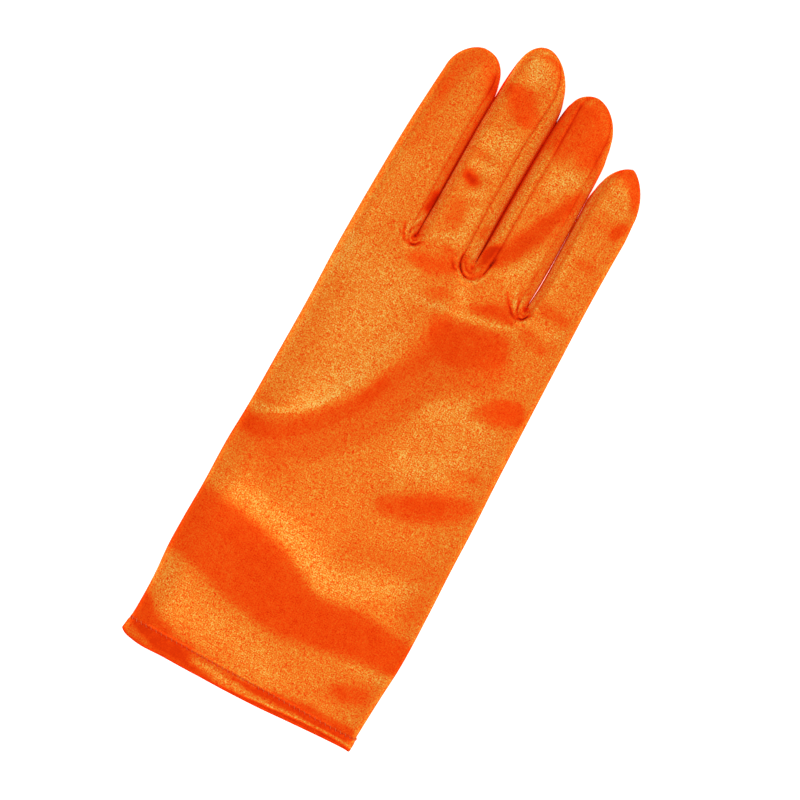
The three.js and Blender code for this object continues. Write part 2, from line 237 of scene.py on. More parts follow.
def maths(tree, operation, first, second, third=None):
    # the values are sockets or numbers
    node = addNode(tree, "ShaderNodeMath", operation=operation)
    for slot, value in enumerate((first, second, third)):
        if isinstance(value, (int, float)):
            node.inputs[slot].default_value = value
        elif value is not None:
            tree.links.new(value, node.inputs[slot])
    return node.outputs[0]


def addRelief(tree, shader, height, strength):
    relief = addNode(tree, "ShaderNodeBump", [(height, "Height")], in_Strength=strength,
                     in_Distance=reliefDepth)
    tree.links.new(relief.outputs["Normal"], shader.inputs["Normal"])


def satinMaterial(name, dim, paintedGlow):
    # dim darkens every shade, and the last argument is a painted glow for light through the cloth
    made, tree, shader = newMaterial(name, {**satinLook["inputs"], "Emission Strength": paintedGlow})
    place = addNode(tree, "ShaderNodeTexCoord").outputs["Object"]
    # rise carries each point's painted shade and painted highlight
    rise = addNode(tree, "ShaderNodeAttribute", attribute_name="rise").outputs["Fac"]
    fleck, fine, patch = [noiseAt(tree, place, *satinLook[part][:3]) for part in ("fleck", "fine", "patch")]
    ribs, rows = [addNode(tree, "ShaderNodeTexWave", [(place, "Vector")], bands_direction=direction,
                          in_Scale=1000 / pitch / 20 * math.pi * 2, in_Distortion=1.6, in_Detail=1.0,
                          in_Detail_Scale=0.5).outputs["Fac"]
                  for direction, pitch in zip("XY", satinLook["weavePitch"])]
    weave = maths(tree, "MULTIPLY", ribs, rows)
    # level = rise + (0.05 + 1.3 rise) * (fleck + fine + weave, centred) + patch, centred
    grain = maths(tree, "MULTIPLY_ADD", weave, satinLook["weave"], satinLook["grainMiddle"])
    grain = maths(tree, "MULTIPLY_ADD", fine, satinLook["fine"][3], grain)
    grain = maths(tree, "MULTIPLY_ADD", fleck, satinLook["fleck"][3], grain)
    level = maths(tree, "MULTIPLY_ADD", grain, maths(tree, "MULTIPLY_ADD", rise, *satinLook["grain"]), rise)
    level = maths(tree, "MULTIPLY_ADD", patch, satinLook["patch"][3], level)
    level = maths(tree, "ADD", level, satinLook["patchMiddle"] - dim)
    # grain alone never goes below 0, and the shades run from lowest to highest
    level = maths(tree, "MAXIMUM", level, maths(tree, "MINIMUM", rise, 0.0))
    level = maths(tree, "MULTIPLY_ADD", level, 1 / (highest - lowest), -lowest / (highest - lowest))
    cloth = addNode(tree, "ShaderNodeValToRGB", [(level, "Fac")])
    stops = cloth.color_ramp.elements
    first, *others, last = satinLook["shades"]
    stops[0].color = linear(first[1])
    stops[1].color = linear(last[1])
    for position, colour in others:
        stops.new((position - lowest) / (highest - lowest)).color = linear(colour)
    tree.links.new(cloth.outputs["Color"], shader.inputs["Base Color"])
    addRelief(tree, shader, maths(tree, "ADD", fleck, weave), satinLook["relief"])
    return made


def mottledMaterial(name, pitch, dark, light, roughness, relief):
    made, tree, shader = newMaterial(name, {"Roughness": roughness})
    mottle = noiseAt(tree, addNode(tree, "ShaderNodeTexCoord").outputs["Object"], pitch)
    colour = addNode(tree, "ShaderNodeMix", [(mottle, 0)], data_type="RGBA",
                     in_6=linear(dark), in_7=linear(light))
    tree.links.new(colour.outputs[2], shader.inputs["Base Color"])
    if relief:
        addRelief(tree, shader, mottle, relief)
    return made


# the strips' shades are all a little darker, and they have less of the painted glow
satin = satinMaterial("warpSatin", 0.0, 0.06)
stripSatin = satinMaterial("warpSatinCutAcross", 0.02, 0.04)
# the wrong side of the cloth: short floats, matt, duller than the face
wrongSide = mottledMaterial("satinWrongSide", 0.45, "#D2430C", "#EC6A26", 0.75, 0.4)
# spun polyester sewing thread: matt, a little darker than the cloth
thread = mottledMaterial("polyesterThread", 0.3, "#DC4A0E", "#FF8438", 0.6, 0.0)
print("satin and thread made")

# Folds as brush strokes on the back: how strongly the cloth rises to the light or (below 0) falls
# away from it, how soft the edge is, and the (x, y, half-width) points. Each stroke tilts the back
# and is also painted into the colour: painted highlight above 0, painted shade below 0
folds = [
    # cuff: the broad hollow across it, the hem's corner and the little hollows
    (-0.85, 1.6, (-44, 44.5, 11.3), (-30, 43.2, 12.2), (-20, 40.8, 12.2), (-10, 38, 12), (-3, 35.7, 11.3),
     (0.5, 34.6, 10.4), (4, 33.2, 8.4), (15, 34.7, 8.1), (25, 36.2, 7.8), (35, 36.7, 6.8), (44, 37, 5.5)),
    (-0.3, 3, (-22, 48, 3), (-14, 43, 4), (-8, 38, 4.5), (3, 33.5, 3.2)),
    (-0.12, 2.5, (-6, 35, 7.5), (3, 33.5, 6), (15, 34.7, 6), (34, 36.6, 5)),
    (-0.3, 1.5, (39.5, 36, 2.2), (40, 33, 2)),
    (-1.1, 1.6, (-43, 14.3, 3.6), (-37, 8.6, 3.8), (-28, 6, 4), (-22, 4.8, 3.2), (-17, 2.4, 1.2),
     (-10, 1.2, 0.6)),
    (-0.5, 1, (-20, 7, 1.5), (-10, 6.3, 1.1), (-2, 6, 1)),
    (-1.15, 1, (-2, 5.6, 0.3), (6, 6, 1.1), (15, 6.3, 1.6), (25, 7.2, 2.4), (39, 7.4, 2.3)),
    (-0.35, 1, (-42, 4, 3), (-31, 2.6, 2.6)),
    (0.35, 1.2, (-18, 4, 0.3), (-12, 4, 0.8), (-5, 3.8, 0.8), (2, 3.8, 0.3)),
    (-0.75, 1.6, (29, 18.6, 1.6), (32, 19.2, 3), (36.4, 20.2, 3.8)),
    (-0.35, 2, (24, 15, 1.2), (30, 17, 2.5)),
    (0.25, 4, (-38, 24, 5), (-30, 19, 5.5), (-15, 16.5, 4.5), (0, 15, 5), (8, 13.5, 4)),
    (0.3, 1, (28, 26.6, 1), (35, 27.6, 1.3), (42, 29.2, 1.4)),
    (0.45, 3, (-30, 60, 2.5), (-18, 58, 3.5), (-6, 54.5, 4), (2, 50.5, 4.5), (8, 48, 4), (18, 50, 4),
     (28, 56, 3.5), (36, 59, 2)),
    (-0.4, 2, (38.5, 50, 3), (38.5, 57, 2.5)),
    # middle of the hand
    (-0.28, 3, (12, 60, 3), (22, 63, 3.5), (40, 65.5, 3)),
    (-0.3, 4, (-38, 73, 3), (-20, 71, 3.5)),
    (-0.6, 2, (-40, 81, 4), (-35, 80, 3.5)),
    (-0.36, 0.9, (-36, 81.3, 4), (-29, 84, 4.1), (-22.5, 89, 4), (-16, 95.4, 3.6), (-10.2, 103.6, 2.8),
     (-5.4, 112.6, 1.6)),
    (-0.3, 1.6, (-8, 107, 2.4), (-4.6, 114, 3.2), (-1, 122.6, 3.6), (1.6, 131.4, 4.2), (3, 137.4, 4.2)),
    (-0.45, 2.2, (-27, 79.6, 6), (-18.4, 86, 7.2), (-10.6, 94.4, 7.4), (-4, 103.4, 7.2), (1, 113.8, 7.4),
     (5.8, 124.4, 8.2), (10, 131, 11), (17, 134, 10.3), (20, 136.5, 8.6)),
    (-0.45, 1.4, (2, 138.8, 4.5), (10, 136, 7.5), (19, 138.5, 6.6)),
    (-0.12, 2.5, (4, 138, 4), (6.5, 132, 3.5)),
    (-0.6, 0.8, (-39.5, 88.8, 0.4), (-35.5, 89.8, 0.8)),
    (0.35, 2, (-39, 97, 1), (-38.5, 150, 1.5)),
    (0.3, 2, (-30, 93.5, 1.6), (-22, 101, 3), (-15, 110, 3.6), (-10.5, 120, 3), (-8, 131, 2.4)),
    (0.25, 5, (12, 97, 6), (22, 108, 9), (34, 108, 5)),
    (0.9, 1, (-41, 86.3, 0.3), (-36, 86.8, 0.6), (-31, 89.2, 0.8), (-26, 92.6, 0.9), (-21, 97.6, 0.8),
     (-17, 103, 0.3)),
    (0.3, 2, (-26, 95, 1), (-20, 102, 2), (-15, 108, 1.6), (-12, 113, 1)),
    (-0.75, 1.5, (14, 78.9, 3.2), (20, 80.7, 4.4), (27, 83.9, 4.8), (33.5, 88, 4.4), (37.5, 90.6, 2.4)),
    (-0.2, 1.5, (20, 82, 2), (29, 86, 3)),
    (-0.55, 1.5, (27, 97.6, 1), (30, 98.6, 1.4), (34.5, 100.3, 1.6)),
    (0.4, 3, (13, 92, 4), (22, 94.5, 3.6), (28, 100, 3)),
    (0.4, 6, (-28, 102, 4), (-22, 110, 6), (-22, 125, 11), (-20, 142, 9), (-34, 142, 5)),
    (0.4, 3, (12, 113, 4), (20, 118, 4), (33, 115, 1.5)),
    (-0.85, 1.2, (25.4, 118.4, 2), (30.5, 121.6, 4.6), (35.4, 124.2, 4.5)),
    (-0.2, 1.5, (33, 124, 2), (37, 125, 2.6)),
    # knuckles
    (-0.8, 1.4, (-17, 153.5, 2.5), (-11, 153.5, 3.2), (-6, 156, 2.5), (-3.5, 157.4, 1.6)),
    (-0.5, 1.2, (-9, 160, 2), (-5, 160.5, 1.5)),
    (-0.6, 1.2, (-7.5, 145.3, 1.3), (-3, 148.3, 1.8)),
    (-0.9, 1.3, (8, 148.5, 1.6), (13, 149.6, 2.3), (19.5, 151, 2.2)),
    (-0.4, 1.3, (13, 152, 1.5), (17, 154.3, 1.4)),
    (-0.65, 1.3, (29, 158.5, 2), (36.5, 158.8, 1.8)),
    (-0.55, 1.5, (27.5, 149, 2), (34, 147, 1.8)),
    (0.62, 1, (-12, 141.5, 0.3), (-6, 142.8, 1), (0, 144, 1), (5, 144.8, 0.5), (8, 145.3, 0.8),
     (14, 145.4, 1), (19, 147, 0.6), (22, 148.6, 0.2)),
    (0.5, 1.2, (2, 151.5, 2), (4, 148.5, 1.5)),
    (0.35, 1.5, (27, 153, 1.2), (35, 153.5, 1.5)),
    (-0.35, 1.2, (-18, 162.4, 1.4), (-15.4, 158.6, 1.4)),
    # index finger
    (0.2, 5, (-36, 150, 5), (-33, 180, 5)),
    (-0.55, 2.5, (-34.8, 206, 2.2), (-33.8, 216, 3), (-30, 221, 2.5), (-25, 219.5, 2), (-22.5, 213, 1.6)),
    (-0.35, 2.5, (-35, 186, 1.5), (-34.5, 206, 2.6)),
    (-0.3, 1.2, (-20.8, 183, 1.1), (-20.6, 200, 1.2), (-20.4, 214, 1.9)),
    (-0.5, 1.2, (-21.5, 217, 1.8), (-20, 213, 1.5)),
    (-1, 0.8, (-21, 170, 1.2), (-20.6, 175.5, 1.3)),
    # middle finger
    (0.7, 1.8, (-12, 227, 2.6), (-10, 224, 3.4)),
    (-0.85, 1.3, (-14.8, 216.5, 2.2), (-10, 213.8, 4.6), (-7, 211, 4.2)),
    (-0.35, 1.2, (-17, 218, 1.2), (-6, 219, 1)),
    (0.5, 2.5, (-13, 198.5, 4), (-8, 199, 4)),
    (-0.45, 1, (-15.5, 193.3, 0.9), (-12, 193, 1)),
    (0.6, 1.2, (-14, 189.5, 1), (-8, 190, 2)),
    (-1.3, 1, (-14.4, 185.2, 1.7), (-12, 184.3, 2)),
    (0.5, 1.2, (-11, 179.8, 1.4), (-8, 182, 2)),
    (-0.6, 1.8, (-13.5, 175, 2.2), (-11, 171.5, 2.5)),
    (0.5, 1.2, (-6.5, 176, 1.8), (-6.5, 165.5, 1.8), (-12, 163.8, 1)),
    (-0.8, 0.8, (-1, 170, 1.1), (-1.1, 172.5, 1.2)),
    # ring finger
    (-0.8, 2, (8.6, 208.4, 4), (10, 218, 6.5), (15, 214, 6), (17, 208.5, 3.5)),
    (-0.35, 2, (7, 222, 2.5), (12, 224.5, 2.5), (16, 222, 2)),
    (-0.7, 1.4, (4, 205, 1), (4.6, 213, 2), (5, 222, 2.6)),
    (-0.6, 1.4, (21.6, 203, 1.2), (20.6, 214, 2)),
    (0.6, 2, (10.5, 195, 2.5), (14, 199, 3.6), (15.5, 200, 3)),
    (-0.95, 1.5, (20.8, 197, 1.2), (18.2, 189, 2.4), (14.8, 180, 3.2), (10.6, 172, 3.2), (5.4, 165.5, 3)),
    (-0.5, 1.2, (4.6, 166.5, 2.4), (4, 162, 1.5)),
    (0.5, 2, (13, 163.4, 2.4), (16.4, 168, 2.2), (18.6, 173, 1)),
    (-0.5, 1.4, (21.5, 160, 1.2), (21.8, 180, 1.2), (21.8, 196, 1.5)),
    # thin bands of painted shade at the edges, where the cloth turns down at the outline
    (-0.45, 0.8, (-42.4, 58, 0.7), (-41.8, 85, 0.7), (-41, 112, 0.5)),
    (-0.35, 0.8, (-38.6, 216, 0.6), (-36, 221, 0.6), (-31, 223.6, 0.6), (-25.6, 222, 0.6),
     (-21.8, 216, 0.6)),
    (-0.5, 0.8, (-17.6, 227, 0.7), (-14.6, 232, 0.7), (-10.6, 233.7, 0.7), (-6, 231.6, 0.8),
     (-3, 226, 0.8)),
    (-0.6, 0.9, (2.6, 221, 0.8), (5, 225.4, 0.9), (9.5, 227.5, 0.9), (14, 226.5, 0.9), (18, 222.5, 0.9),
     (20.6, 217, 0.8)),
    # little finger
    (-0.9, 1.2, (28.6, 209.2, 1.4), (32.5, 210.8, 2.3), (36.4, 206.6, 2.3), (38.4, 201, 0.8)),
    (0.45, 1.2, (30, 198.5, 1), (34, 198, 1)),
    (-0.85, 1.2, (37.4, 190.5, 1.8), (38, 194.5, 1.8)),
    (0.4, 1.2, (28, 204.5, 1), (33, 203.6, 2), (36, 200.5, 1)),
    (-0.35, 1.5, (31, 193, 1.2), (36, 192.5, 2)),
    (-0.6, 1.2, (31, 178, 1.3), (35, 178, 1.5)),
    (0.3, 1.5, (27.8, 165, 1.5), (28, 185, 1.5)),
]
# Fine strokes, mostly where the cloth gathers below the three slits: painted shade and painted
# highlight in the colour, with a slight height
pleats = [
    # between index and middle
    (-1.6, 0.5, (-24.6, 162.4, 0.25), (-23.4, 159.3, 0.45), (-22.2, 157.4, 0.45), (-20.2, 156.8, 0.3),
     (-18, 157.6, 0.35), (-16, 160.2, 0.1)),
    (1, 0.5, (-23.6, 163.4, 0.2), (-22.4, 160.4, 0.45), (-21.2, 158.8, 0.3)),
    (1, 0.5, (-22, 161.8, 0.3), (-21, 165, 0.5), (-20.3, 168, 0.3)),
    (-0.9, 0.4, (-21.8, 160.6, 0.2), (-20.9, 162.6, 0.3), (-20.4, 165, 0.2)),
    (-0.9, 0.4, (-18.5, 164, 0.3), (-18.9, 161.8, 0.3), (-19.8, 159.6, 0.45)),
    (0.6, 0.5, (-20.6, 160, 0.2), (-19.9, 163, 0.3)),
    (0.6, 0.8, (-17.8, 159.6, 0.2), (-16.2, 161.4, 0.6), (-13.6, 163.8, 0.6)),
    (0.5, 0.6, (-22, 156.2, 0.2), (-19.5, 155.9, 0.4), (-17, 156.8, 0.2)),
    (-0.25, 0.8, (-19.9, 174.6, 1), (-20.6, 170, 1.3)),
    # fingertips
    (-1, 0.5, (-12.5, 230.2, 0.2), (-10.2, 231.4, 0.5), (-7.8, 231.2, 0.6), (-6, 229.6, 0.4)),
    (0.8, 0.6, (-13.5, 231.6, 0.3), (-10, 232.9, 0.5), (-6.5, 232, 0.3)),
    (-0.5, 0.8, (-14, 185.2, 1.1), (-12.2, 184.4, 1.3)),
    # between middle and ring
    (-1.1, 0.4, (-2.7, 162, 0.1), (-2.8, 158.6, 0.3), (-1.6, 156.9, 0.35), (0.6, 156, 0.4),
     (3.1, 156.9, 0.35), (5, 159.1, 0.3), (6.3, 162, 0.3), (6.8, 166, 0.1)),
    (0.7, 0.4, (-2.4, 156.3, 0.15), (0.2, 155.3, 0.3), (3.4, 155.8, 0.3), (6, 158.6, 0.15)),
    (-0.8, 0.5, (-6.4, 160, 0.2), (-4.4, 156.6, 0.5), (-2.2, 155.3, 0.3), (0, 154.9, 0.1)),
    (-0.7, 0.7, (-1.3, 162.4, 0.5), (-1.2, 159.6, 0.8)),
    (-1, 0.5, (1.8, 159.1, 0.35), (1.9, 159, 0.35)),
    (-0.5, 0.4, (0, 158.2, 0.3), (0.2, 158, 0.3)),
    (0.6, 0.45, (0.2, 160.2, 0.2), (1.8, 160.9, 0.35), (3.4, 160, 0.3), (3.6, 158.2, 0.3), (2, 157.3, 0.2)),
    (0.6, 0.5, (0.2, 162.4, 0.2), (0.1, 166, 0.4), (-0.2, 169, 0.2)),
    (-0.75, 0.7, (3.2, 162.4, 0.9), (3.8, 166, 1.5), (4.6, 169.2, 0.9)),
    # between ring and little
    (-1.5, 0.4, (15.8, 158.4, 0.2), (17.5, 154.8, 0.35), (19.4, 152.6, 0.4), (21.3, 151.8, 0.4),
     (23.1, 152.3, 0.4), (25, 154.4, 0.35), (25.8, 156.6, 0.1)),
    (0.8, 0.5, (17.4, 162, 0.1), (18.9, 157.3, 0.4), (20.1, 154.6, 0.2)),
    (-0.9, 0.4, (19.3, 162, 0.1), (19.8, 158.2, 0.3), (20.6, 154.6, 0.3)),
    (0.6, 0.4, (20.8, 162, 0.1), (21, 158, 0.3), (21.6, 154.8, 0.2)),
    (-0.9, 0.6, (22.8, 159.8, 0.2), (22.6, 158, 0.4), (23.2, 156.4, 0.7)),
    (-0.5, 0.4, (25.5, 166, 0.1), (25.3, 162, 0.25), (25, 159, 0.1)),
    (0.5, 0.5, (19.4, 151.4, 0.2), (22, 150.7, 0.3), (25.4, 152.4, 0.2)),
]

# How the strokes become maps of the shade and the height
foldGrid = {
    "low": (-46.0, -1.0), "high": (46.0, 236.0), "step": 0.25,
    "waver": 0.35,  # of the edges
    "fringe": (2.4, 2.6),  # how far a stroke's fringe reaches in and out, in its softness
    "fringeShare": 0.28,
    "easing": 24.0,  # length over which a slope fades
    "steepest": 0.2,
    "even": 2.2,
    "liftLimits": (-0.95, 1.15), "pleatLimits": (-1.2, 1.0),
}


def strokeDistance(x, y, stroke):
    # distance to the stroke's line less its half-width there, below 0 inside
    nearest = np.full(x.shape, np.inf)
    for (ax, ay, ar), (bx, by, br) in zip(stroke[:-1], stroke[1:]):
        lengthSquared = (bx - ax) ** 2 + (by - ay) ** 2
        t = np.clip(((x - ax) * (bx - ax) + (y - ay) * (by - ay)) / lengthSquared, 0, 1)
        away = np.hypot(x - mix(ax, bx, t), y - mix(ay, by, t)) - mix(ar, br, t)
        nearest = np.minimum(nearest, away)
    return nearest


def paint(strokes):
    # sum of strength * (1 - ramp over each stroke's edge, mixed with the wider ramp of its fringe),
    # in x + a (sin(y/p + sin(x/q)) + ...) and y likewise, so that the edges waver
    step, waver = foldGrid["step"], foldGrid["waver"]
    (x0, y0), (x1, y1) = foldGrid["low"], foldGrid["high"]
    x, y = np.meshgrid(np.arange(x0, x1, step), np.arange(y0, y1, step), indexing="ij")
    lift = np.zeros_like(x)
    wx = x + waver * (np.sin(y / 4.1 + 1.4 * np.sin(x / 6.3)) + 0.5 * np.sin(y / 1.9 + x / 2.7))
    wy = y + waver * (np.sin(x / 4.7 + 1.2 * np.sin(y / 7.1)) + 0.5 * np.sin(x / 1.7 - y / 3.1))
    for strength, soft, *stroke in strokes:
        inside, outside = [share * soft for share in foldGrid["fringe"]]
        # the part of the map within reach
        places = np.array(stroke)[:, :2]
        reach = max(point[2] for point in stroke) + outside + 2 * waver
        (i0, j0), (i1, j1) = [((end - (x0, y0)) / step).astype(int).clip(0) for end in
                              (places.min(axis=0) - reach, places.max(axis=0) + reach)]
        part = (slice(i0, i1 + 1), slice(j0, j1 + 1))
        away = strokeDistance(wx[part], wy[part], stroke)
        faded = mix(ramp(-soft, soft, away), ramp(-inside, outside, away), foldGrid["fringeShare"])
        lift[part] += strength * (1 - faded)
    return lift


def raised(lift):
    # height: running sum of the slopes along y, fading over easing, and evened out across the
    # glove by a bell, so that a stroke's end leaves no crease
    step, easing = foldGrid["step"], foldGrid["easing"]
    y = foldGrid["low"][1] + step * np.arange(lift.shape[1])[None, :]
    slope = lift * foldGrid["steepest"] * step
    height = np.exp(-y / easing) * np.cumsum(slope * np.exp(y / easing), axis=1)
    spread = np.arange(-3 * foldGrid["even"], 3 * foldGrid["even"] + step, step)
    bell = bump(spread, 0, 1.4 * foldGrid["even"])
    padded = np.pad(height, ((len(spread) // 2,) * 2, (0, 0)), mode="edge")
    return sum(padded[n:n + len(lift)] * weight for n, weight in enumerate(bell / bell.sum()))


liftMap = paint(folds).clip(*foldGrid["liftLimits"])
heightMap = raised(liftMap)
pleatMap = paint(pleats).clip(*foldGrid["pleatLimits"])


def sample(grid, x, y):
    # bilinear reading of a fold map
    (x0, y0), step = foldGrid["low"], foldGrid["step"]
    u = np.clip((x - x0) / step, 0, grid.shape[0] - 1.001)
    v = np.clip((y - y0) / step, 0, grid.shape[1] - 1.001)
    i, j = u.astype(int), v.astype(int)
    a, b = u - i, v - j
    return mix(mix(grid[i, j], grid[i + 1, j], a), mix(grid[i, j + 1], grid[i + 1, j + 1], a), b)


print("folds painted", liftMap.shape)

# Hand: sides of the glove in plan, (y, x) down each side, and the heights of the two sheets
hand = {
    "leftSide": [(0, -42.6), (2.4, -42.2), (8, -41.5), (14, -41.3), (23, -41.4), (33, -42.1), (43, -42.1),
                 (55, -41.8), (73, -41.8), (84, -41.3), (105, -41), (125, -40.8), (145, -41),
                 (163, -40.7)],
    "rightSide": [(0, 42), (2.7, 42.1), (11, 42.5), (23, 43.2), (33, 43.9), (53, 43.8), (70, 43.3),
                  (84, 43.1), (100, 42.5), (110, 42.2), (133, 41.7), (163, 41.1)],
    "height": 10.5,
    "edgeShare": 0.36,
    "edgeLift": 0.14,  # how much higher the fingers' edges stand
    "edgeLiftFrom": (120, 150),
    "pleatHeight": 0.15,
    "backReach": 14.5,
    "palmReach": 6.5,
    "fingerReach": 0.42,  # share of a finger's half-width over which its back rounds
    "roundingLength": 26,  # over which the sides take the fingers' rounding
    "cloth": 0.5,
    "lineSag": 0.9,  # how far the line of the crotches bows up
    "sideSeam": 0.35,
}
stitchLine = 6.8

# Fingers: left and right edges in plan as (y, x) up to the round tip, the end of the tip, how
# blunt each side of it is, and the shares of the width at which the seams with the strips lie
fingers = [
    {"name": "index", "apex": (-29, 224.5), "blunt": (1.2, 0.8), "seams": (0.2, 0.12),
     "left": [(163, -40.7), (178, -40.25), (193, -39.6), (203, -38.9), (213, -38.1)],
     "right": [(161, -19.75), (178, -19.7), (193, -19.7), (203, -19.5), (212, -19.3)]},
    {"name": "middle", "apex": (-10.4, 234.3), "blunt": (0.9, 1.2), "seams": (0.1, 0.225),
     "left": [(161, -19.45), (178, -19.2), (193, -19.1), (203, -19), (213, -18.5), (224, -17.9)],
     "right": [(162, 1.1), (178, 1.1), (193, 1.3), (203, 1.55), (210, 1.85), (216, 2)]},
    {"name": "ring", "apex": (10.9, 227.9), "blunt": (1.1, 1.15), "seams": (0.205, 0.13),
     "left": [(162, 1.8), (170, 2.1), (183, 2.4), (200, 2.7), (212, 3.1), (221, 3.8)],
     "right": [(157, 22.9), (166, 23.3), (180, 23.4), (195, 23.1), (205, 22.8), (213, 22.1)]},
    {"name": "little", "apex": (32.1, 213), "blunt": (1.3, 1.5), "seams": (0.1, 0.2),
     "left": [(157, 23.4), (163, 23.9), (178, 24), (190, 24), (197, 24.1), (202, 24.5)],
     "right": [(163, 41.1), (175, 41.1), (185, 41.2), (191, 41.3), (197, 40.9)]},
]

# Crotches: where each slit ends, how deep the strip's U hangs below it, how plainly the seam on
# either side shows, how much painted light brightens either finger's edge, and how much painted
# shade darkens the slit
crotches = [
    {"x": -19.6, "y": 161, "depth": 4, "shows": (1, 0.1), "glow": (-0.08, 0.4), "slit": 0.45},
    {"x": 1.5, "y": 162, "depth": 6.1, "shows": (0.9, 0.9), "glow": (0.16, 0.18), "slit": 0.85},
    {"x": 23.1, "y": 156.8, "depth": 4.2, "shows": (0.3, 0.6), "glow": (0.26, 0.42), "slit": 0.05},
]
valleyDepth = 6.0  # how far below a crotch the dip in each sheet runs
seam = {
    "depth": 0.4, "reach": 0.6,
    "palmShare": 0.6,  # depth in the palm, as a share
    "flat": 0.2,  # height share below which the edge stays as it is
    "welt": 0.32, "weltAt": 1.2, "weltReach": 0.8,
    "pucker": 0.12, "puckers": 15, "puckerReach": 2.2,
    "pleat": 0.22, "pleats": 2.5,
    "allowance": 0.45, "turnedIn": 1.6,
    "dark": (0.24, 0.16), "darkReach": 0.45,  # shade along a finger, and more of it round the U
    "light": 0.15, "lightAt": 1.1, "lightReach": 0.5,  # shade on the welt
}

# How the sheets are divided
grid = {"coarseRows": 128, "fineRows": 30, "fineFrom": 1 - 0.068, "stripColumns": {1: 6, -1: 2},
        "middleColumns": {1: 24, -1: 8}}
fingerRows, tipRows = 62, 16
tipTurn = steps(tipRows, np.pi / 2)[1:]


def reachAt(across, y):
    # x of the glove's side that a point is on, as a length
    return np.where(across < 0, -curve(hand["leftSide"], y), curve(hand["rightSide"], y))


def sag(s):
    # bow of the line of the crotches between two of them: 4s(1 - s)
    return hand["lineSag"] * 4 * s * (1 - s)


lineX = np.array([-1.0, *(c["x"] / float(reachAt(c["x"], c["y"])) for c in crotches), 1.0])
lineY = np.array([163.0, *(c["y"] for c in crotches), 163.0])


def fingerEdges(k):
    # Both edges of a finger from the line of the crotches to the tip: a curve through its rows,
    # and then a quarter turn of (cos^blunt, sin)
    finger = fingers[k]
    ends = []
    for n, (name, blunt) in enumerate(zip(("left", "right"), finger["blunt"])):
        y0 = lineY[k + n]
        x0 = lineX[k + n] * float(reachAt(lineX[k + n], y0))
        rows = [(y0, x0)] + [row for row in finger[name] if row[0] > y0 + 3]
        y1, x1 = rows[-1]
        t = steps(fingerRows)
        y = mix(y0, y1, mix(t, t * t, 0.35))
        apexX, apexY = finger["apex"]
        ends.append((np.append(curve(rows, y), apexX + (x1 - apexX) * np.cos(tipTurn) ** blunt),
                     np.append(y, mix(y1, apexY, np.sin(tipTurn)))))
    return ends


def fingerSpan(k):
    (leftX, _), (rightX, _) = fingerEdges(k)
    return rightX - leftX


def seamShares(k):
    # share of the width that each strip takes: constant, then (1 - u^2)^(1/2) towards the tip
    rows = np.arange(fingerRows + tipRows + 1)
    start = fingerRows - 14
    u = np.clip((rows - start) / (fingerRows + tipRows - 2 - start), 0, 1)
    return [share * np.sqrt(1 - u * u) for share in fingers[k]["seams"]]


def fingerSheet(k, s):
    # Rows across a finger: x and y, and the height shares of both sheets, a cushion from either
    # edge times the tip's closing cosine. s is the share of the width.
    (leftX, leftY), (rightX, rightY) = fingerEdges(k)
    rows = np.arange(len(leftX))[None, :]
    settle = (1 - np.clip(rows / 10, 0, 1)) ** 2
    x = mix(leftX[None, :], rightX[None, :], s)
    y = mix(leftY[None, :], rightY[None, :], s) + sag(s) * settle
    width = rightX[0] - leftX[0]
    closing = np.append(np.ones(fingerRows + 1), np.cos(tipTurn))[None, :]
    half = hand["fingerReach"] * width / 2
    return x, y, *(closing * cushion(s * width / reach) * cushion((1 - s) * width / reach)
                   for reach in (half, hand["palmReach"]))


def lineAbove(x, y):
    # height of the line of the crotches above a point of the hand
    across = x / reachAt(x, y)
    k = np.clip(np.searchsorted(lineX, across, side="right") - 1, 0, len(fingers) - 1)
    s = np.clip((across - lineX[k]) / (lineX[k + 1] - lineX[k]), 0, 1)
    return mix(lineY[k], lineY[k + 1], s) + sag(s)


fingerWidths = [fingerSpan(k)[0] for k in range(len(fingers))]


def handShares(x, y):
    # height shares of both sheets on the hand: a cushion from the side times one round each crotch
    below = np.maximum(lineAbove(x, y) - y, 0)
    near = (1 - np.clip(below / hand["roundingLength"], 0, 1)) ** 2
    fromSide = reachAt(x, y) - np.abs(x)
    outer = hand["fingerReach"] * np.where(x < 0, fingerWidths[0], fingerWidths[-1]) / 2
    back = cushion(fromSide / mix(hand["backReach"], outer, near))
    palm = cushion(fromSide / hand["palmReach"])
    for n, crotch in enumerate(crotches):
        u = x - crotch["x"]
        half = hand["fingerReach"] * np.where(u < 0, fingerWidths[n], fingerWidths[n + 1]) / 2
        back = back * cushion(np.hypot(u / half, below / valleyDepth))
        palm = palm * cushion(np.hypot(u / hand["palmReach"], below / valleyDepth))
    return back, palm


# Thumb, flat under the palm: its heel and tip on one straight line, and its height
thumb = {
    "heel": (-27.0, 66.0), "lean": 42.0, "length": 81.0, "width": 23.0, "tipWidth": 18.5,
    "tipRound": 13.0, "height": 2.3, "gap": 0.3, "ease": 3.5, "skirt": 16.0, "backRise": 1.4,
    "backSkirt": 22.0, "rows": 90, "columns": 24, "edgeRound": 4.0, "slack": 0.12,
}
lean = math.radians(thumb["lean"])
thumbLine = np.array([math.sin(lean), math.cos(lean)])


def beyondThumb(x, y):
    # distance in plan to the thumb's middle line less half its width
    dx, dy = x - thumb["heel"][0], y - thumb["heel"][1]
    half = thumb["width"] / 2
    along = np.clip(dx * thumbLine[0] + dy * thumbLine[1], half, thumb["length"] - half)
    return np.hypot(dx - along * thumbLine[0], dy - along * thumbLine[1]) - half


